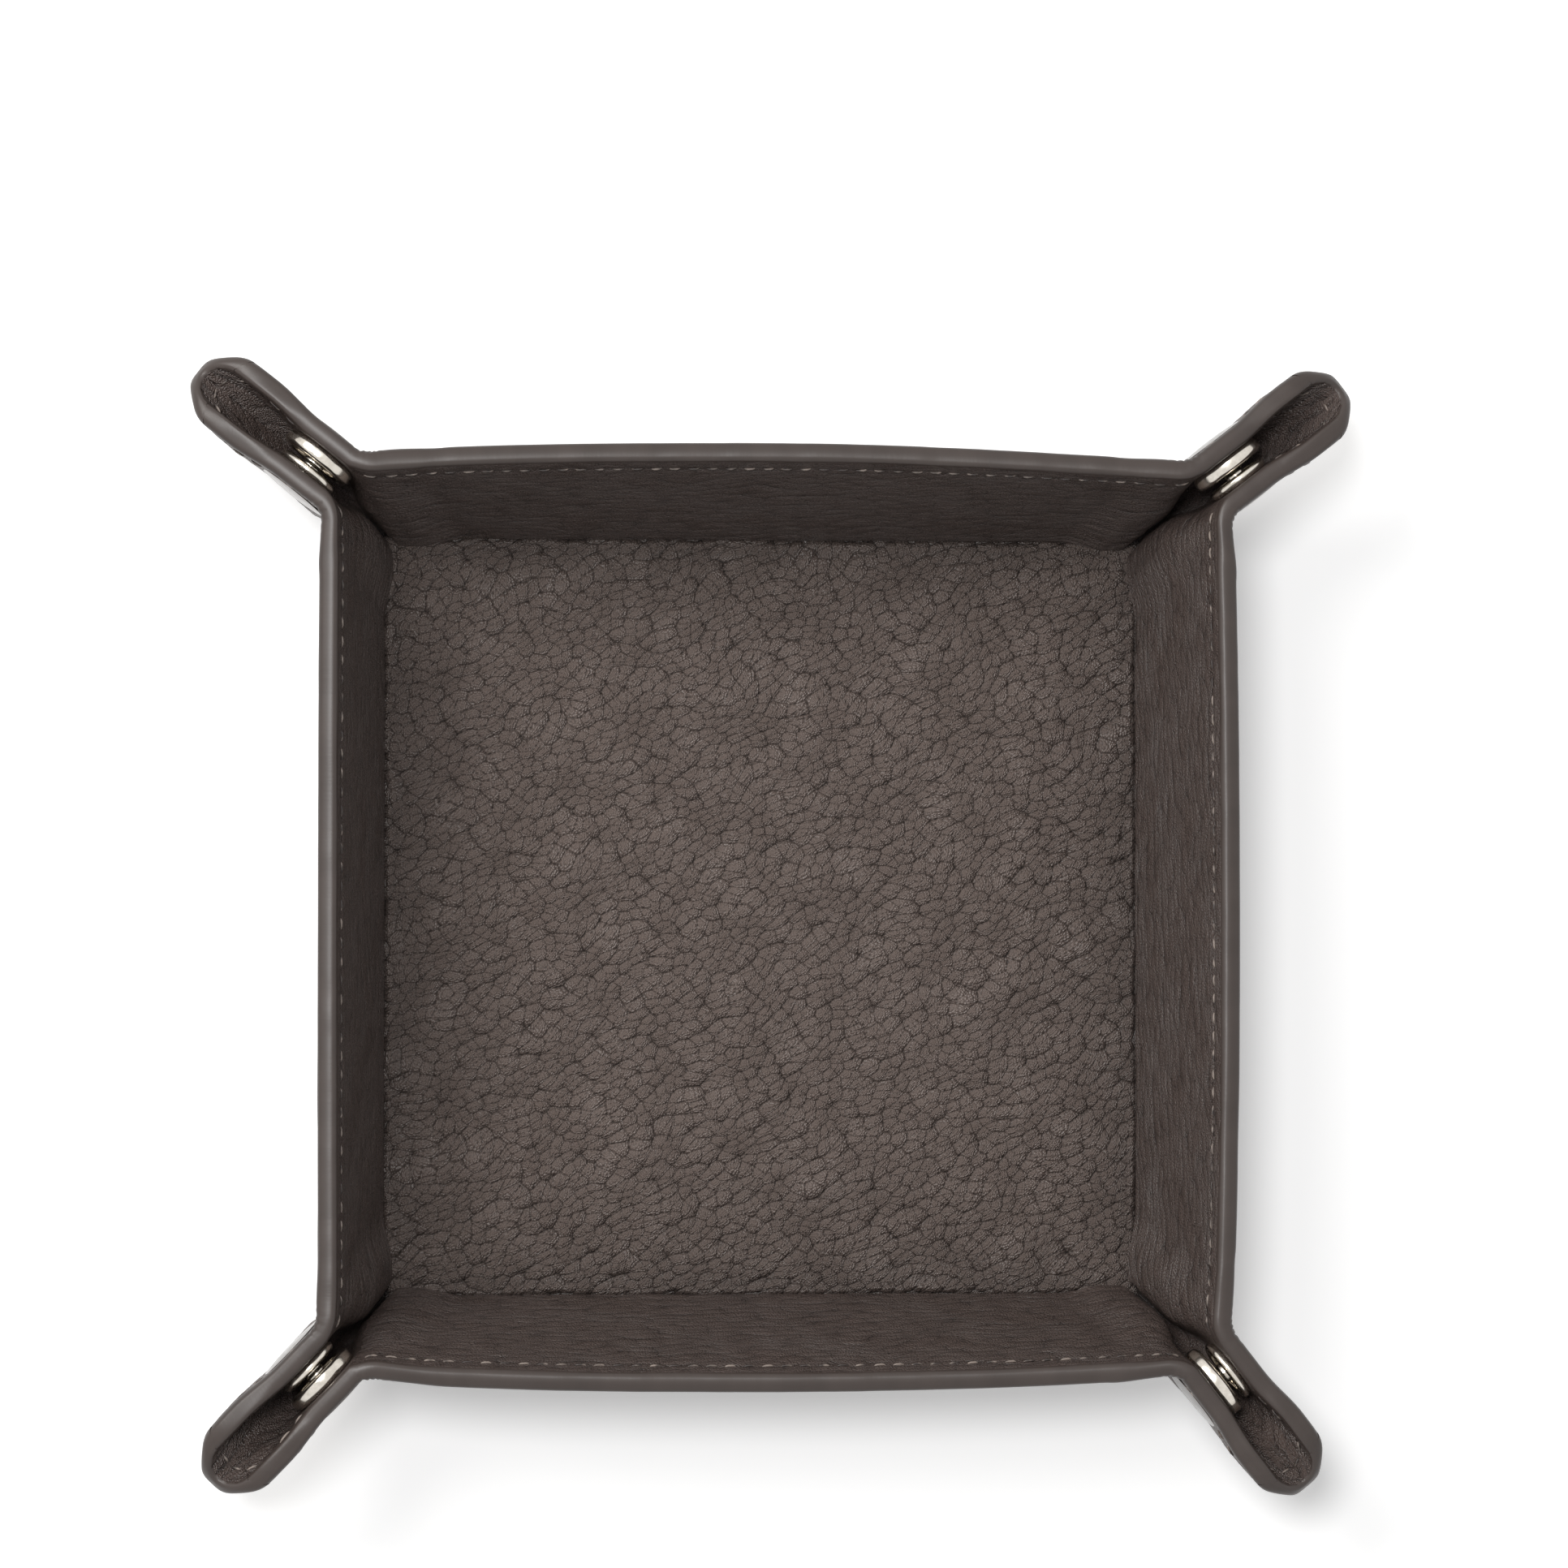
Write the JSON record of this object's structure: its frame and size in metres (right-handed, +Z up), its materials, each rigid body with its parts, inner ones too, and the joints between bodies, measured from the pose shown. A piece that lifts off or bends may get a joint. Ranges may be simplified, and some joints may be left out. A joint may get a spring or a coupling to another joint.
{
  "type": "valet tray",
  "caption": "Square leather catch-all tray: creased walls lean out and are pinched at the corners into ears held by snaps; it opens flat.",
  "frame": {"origin": "centre of the tray's underside", "axes": "+Z up out of the tray, +Y towards the back wall, +X towards the right wall"},
  "size_m": [0.1752, 0.1752, 0.0349],
  "materials": {
    "outer_leather": "pebbled dark taupe leather, satin",
    "lining_leather": "pebbled dark taupe leather, satin",
    "board": "grey-brown fibreboard, matte",
    "thread": "waxed grey-brown polyester thread",
    "snap_metal": "polished nickel plate"
  },
  "bodies": {
    "base": {"base_outer_leather": "outer_leather", "base_board": "board", "base_lining": "lining_leather"},
    "back_wall": {"back_wall_outer_leather": "outer_leather", "back_wall_board": "board", "back_wall_lining": "lining_leather", "back_wall_thread": "thread"},
    "back_wall_right_flap": {"back_wall_right_flap_outer_leather": "outer_leather", "back_wall_right_flap_lining": "lining_leather", "back_wall_right_flap_snap_cap": "snap_metal", "back_wall_right_flap_snap_socket": "snap_metal"},
    "back_wall_right_fold": {"back_wall_right_ear_fold": "outer_leather"},
    "back_wall_left_flap": {"back_wall_left_flap_outer_leather": "outer_leather", "back_wall_left_flap_lining": "lining_leather", "back_wall_left_flap_snap_cap": "snap_metal", "back_wall_left_flap_snap_socket": "snap_metal"},
    "back_wall_left_fold": {"back_wall_left_ear_fold": "outer_leather"},
    "left_wall": {"left_wall_outer_leather": "outer_leather", "left_wall_board": "board", "left_wall_lining": "lining_leather", "left_wall_thread": "thread"},
    "left_wall_back_flap": {"left_wall_back_flap_outer_leather": "outer_leather", "left_wall_back_flap_lining": "lining_leather", "left_wall_back_flap_snap_cap": "snap_metal", "left_wall_back_flap_snap_stud": "snap_metal"},
    "left_wall_back_fold": {"left_wall_back_ear_fold": "outer_leather"},
    "left_wall_front_flap": {"left_wall_front_flap_outer_leather": "outer_leather", "left_wall_front_flap_lining": "lining_leather", "left_wall_front_flap_snap_cap": "snap_metal", "left_wall_front_flap_snap_stud": "snap_metal"},
    "left_wall_front_fold": {"left_wall_front_ear_fold": "outer_leather"},
    "front_wall": {"front_wall_outer_leather": "outer_leather", "front_wall_board": "board", "front_wall_lining": "lining_leather", "front_wall_thread": "thread"},
    "front_wall_left_flap": {"front_wall_left_flap_outer_leather": "outer_leather", "front_wall_left_flap_lining": "lining_leather", "front_wall_left_flap_snap_cap": "snap_metal", "front_wall_left_flap_snap_socket": "snap_metal"},
    "front_wall_left_fold": {"front_wall_left_ear_fold": "outer_leather"},
    "front_wall_right_flap": {"front_wall_right_flap_outer_leather": "outer_leather", "front_wall_right_flap_lining": "lining_leather", "front_wall_right_flap_snap_cap": "snap_metal", "front_wall_right_flap_snap_socket": "snap_metal"},
    "front_wall_right_fold": {"front_wall_right_ear_fold": "outer_leather"},
    "right_wall": {"right_wall_outer_leather": "outer_leather", "right_wall_board": "board", "right_wall_lining": "lining_leather", "right_wall_thread": "thread"},
    "right_wall_front_flap": {"right_wall_front_flap_outer_leather": "outer_leather", "right_wall_front_flap_lining": "lining_leather", "right_wall_front_flap_snap_cap": "snap_metal", "right_wall_front_flap_snap_stud": "snap_metal"},
    "right_wall_front_fold": {"right_wall_front_ear_fold": "outer_leather"},
    "right_wall_back_flap": {"right_wall_back_flap_outer_leather": "outer_leather", "right_wall_back_flap_lining": "lining_leather", "right_wall_back_flap_snap_cap": "snap_metal", "right_wall_back_flap_snap_stud": "snap_metal"},
    "right_wall_back_fold": {"right_wall_back_ear_fold": "outer_leather"}
  },
  "joints": [
    {"name": "front_wall_crease", "type": "hinge", "parent": "base", "child": "front_wall", "pos_m": [0, -0.06121, 0.00155], "axis": [1, 0, 0], "range_deg": [0, 76]},
    {"name": "back_wall_crease", "type": "hinge", "parent": "base", "child": "back_wall", "pos_m": [0, 0.06121, 0.00155], "axis": [-1, 0, 0], "range_deg": [0, 76]},
    {"name": "back_wall_right_flap_crease", "type": "hinge", "parent": "back_wall", "child": "back_wall_right_flap", "pos_m": [0.05562, 0.06121, 0.00155], "axis": [-0.2351, -0.2351, -0.9431], "range_deg": [0, 46.69]},
    {"name": "back_wall_right_fold_bend", "type": "hinge", "parent": "back_wall_right_flap", "child": "back_wall_right_fold", "pos_m": [0.06924, 0.07363, 0.01546], "axis": [0.5481, 0.5481, 0.6317], "range_deg": [0, 90.01]},
    {"name": "back_wall_left_flap_crease", "type": "hinge", "parent": "back_wall", "child": "back_wall_left_flap", "pos_m": [-0.05562, 0.06121, 0.00155], "axis": [-0.2351, 0.2351, 0.9431], "range_deg": [0, 46.69]},
    {"name": "back_wall_left_fold_bend", "type": "hinge", "parent": "back_wall_left_flap", "child": "back_wall_left_fold", "pos_m": [-0.06924, 0.07363, 0.01546], "axis": [0.5481, -0.5481, -0.6317], "range_deg": [0, 90.01]},
    {"name": "left_wall_crease", "type": "hinge", "parent": "base", "child": "left_wall", "pos_m": [-0.06121, 0, 0.00155], "axis": [0, -1, 0], "range_deg": [0, 76]},
    {"name": "left_wall_back_flap_crease", "type": "hinge", "parent": "left_wall", "child": "left_wall_back_flap", "pos_m": [-0.06121, 0.05562, 0.00155], "axis": [0.2351, -0.2351, -0.9431], "range_deg": [0, 46.69]},
    {"name": "left_wall_back_fold_bend", "type": "hinge", "parent": "left_wall_back_flap", "child": "left_wall_back_fold", "pos_m": [-0.07363, 0.06924, 0.01546], "axis": [-0.5481, 0.5481, 0.6317], "range_deg": [0, 90.01]},
    {"name": "left_wall_front_flap_crease", "type": "hinge", "parent": "left_wall", "child": "left_wall_front_flap", "pos_m": [-0.06121, -0.05562, 0.00155], "axis": [-0.2351, -0.2351, 0.9431], "range_deg": [0, 46.69]},
    {"name": "left_wall_front_fold_bend", "type": "hinge", "parent": "left_wall_front_flap", "child": "left_wall_front_fold", "pos_m": [-0.07363, -0.06924, 0.01546], "axis": [0.5481, 0.5481, -0.6317], "range_deg": [0, 90.01]},
    {"name": "front_wall_left_flap_crease", "type": "hinge", "parent": "front_wall", "child": "front_wall_left_flap", "pos_m": [-0.05562, -0.06121, 0.00155], "axis": [0.2351, 0.2351, -0.9431], "range_deg": [0, 46.69]},
    {"name": "front_wall_left_fold_bend", "type": "hinge", "parent": "front_wall_left_flap", "child": "front_wall_left_fold", "pos_m": [-0.06924, -0.07363, 0.01546], "axis": [-0.5481, -0.5481, 0.6317], "range_deg": [0, 90.01]},
    {"name": "front_wall_right_flap_crease", "type": "hinge", "parent": "front_wall", "child": "front_wall_right_flap", "pos_m": [0.05562, -0.06121, 0.00155], "axis": [0.2351, -0.2351, 0.9431], "range_deg": [0, 46.69]},
    {"name": "front_wall_right_fold_bend", "type": "hinge", "parent": "front_wall_right_flap", "child": "front_wall_right_fold", "pos_m": [0.06924, -0.07363, 0.01546], "axis": [-0.5481, 0.5481, -0.6317], "range_deg": [0, 90.01]},
    {"name": "right_wall_crease", "type": "hinge", "parent": "base", "child": "right_wall", "pos_m": [0.06121, 0, 0.00155], "axis": [0, 1, 0], "range_deg": [0, 76]},
    {"name": "right_wall_front_flap_crease", "type": "hinge", "parent": "right_wall", "child": "right_wall_front_flap", "pos_m": [0.06121, -0.05562, 0.00155], "axis": [-0.2351, 0.2351, -0.9431], "range_deg": [0, 46.69]},
    {"name": "right_wall_front_fold_bend", "type": "hinge", "parent": "right_wall_front_flap", "child": "right_wall_front_fold", "pos_m": [0.07363, -0.06924, 0.01546], "axis": [0.5481, -0.5481, 0.6317], "range_deg": [0, 90.01]},
    {"name": "right_wall_back_flap_crease", "type": "hinge", "parent": "right_wall", "child": "right_wall_back_flap", "pos_m": [0.06121, 0.05562, 0.00155], "axis": [0.2351, 0.2351, 0.9431], "range_deg": [0, 46.69]},
    {"name": "right_wall_back_fold_bend", "type": "hinge", "parent": "right_wall_back_flap", "child": "right_wall_back_fold", "pos_m": [0.07363, 0.06924, 0.01546], "axis": [-0.5481, -0.5481, -0.6317], "range_deg": [0, 90.01]}
  ],
  "couplings": [
    {"joint": "back_wall_crease", "follows": "front_wall_crease", "ratio": 1},
    {"joint": "back_wall_right_flap_crease", "follows": "front_wall_crease", "ratio": 0.61418},
    {"joint": "back_wall_right_fold_bend", "follows": "front_wall_crease", "ratio": 1.1842},
    {"joint": "back_wall_left_flap_crease", "follows": "front_wall_crease", "ratio": 0.61418},
    {"joint": "back_wall_left_fold_bend", "follows": "front_wall_crease", "ratio": 1.1842},
    {"joint": "left_wall_crease", "follows": "front_wall_crease", "ratio": 1},
    {"joint": "left_wall_back_flap_crease", "follows": "front_wall_crease", "ratio": 0.61418},
    {"joint": "left_wall_back_fold_bend", "follows": "front_wall_crease", "ratio": 1.1842},
    {"joint": "left_wall_front_flap_crease", "follows": "front_wall_crease", "ratio": 0.61418},
    {"joint": "left_wall_front_fold_bend", "follows": "front_wall_crease", "ratio": 1.1842},
    {"joint": "front_wall_left_flap_crease", "follows": "front_wall_crease", "ratio": 0.61418},
    {"joint": "front_wall_left_fold_bend", "follows": "front_wall_crease", "ratio": 1.1842},
    {"joint": "front_wall_right_flap_crease", "follows": "front_wall_crease", "ratio": 0.61418},
    {"joint": "front_wall_right_fold_bend", "follows": "front_wall_crease", "ratio": 1.1842},
    {"joint": "right_wall_crease", "follows": "front_wall_crease", "ratio": 1},
    {"joint": "right_wall_front_flap_crease", "follows": "front_wall_crease", "ratio": 0.61418},
    {"joint": "right_wall_front_fold_bend", "follows": "front_wall_crease", "ratio": 1.1842},
    {"joint": "right_wall_back_flap_crease", "follows": "front_wall_crease", "ratio": 0.61418},
    {"joint": "right_wall_back_fold_bend", "follows": "front_wall_crease", "ratio": 1.1842}
  ]
}
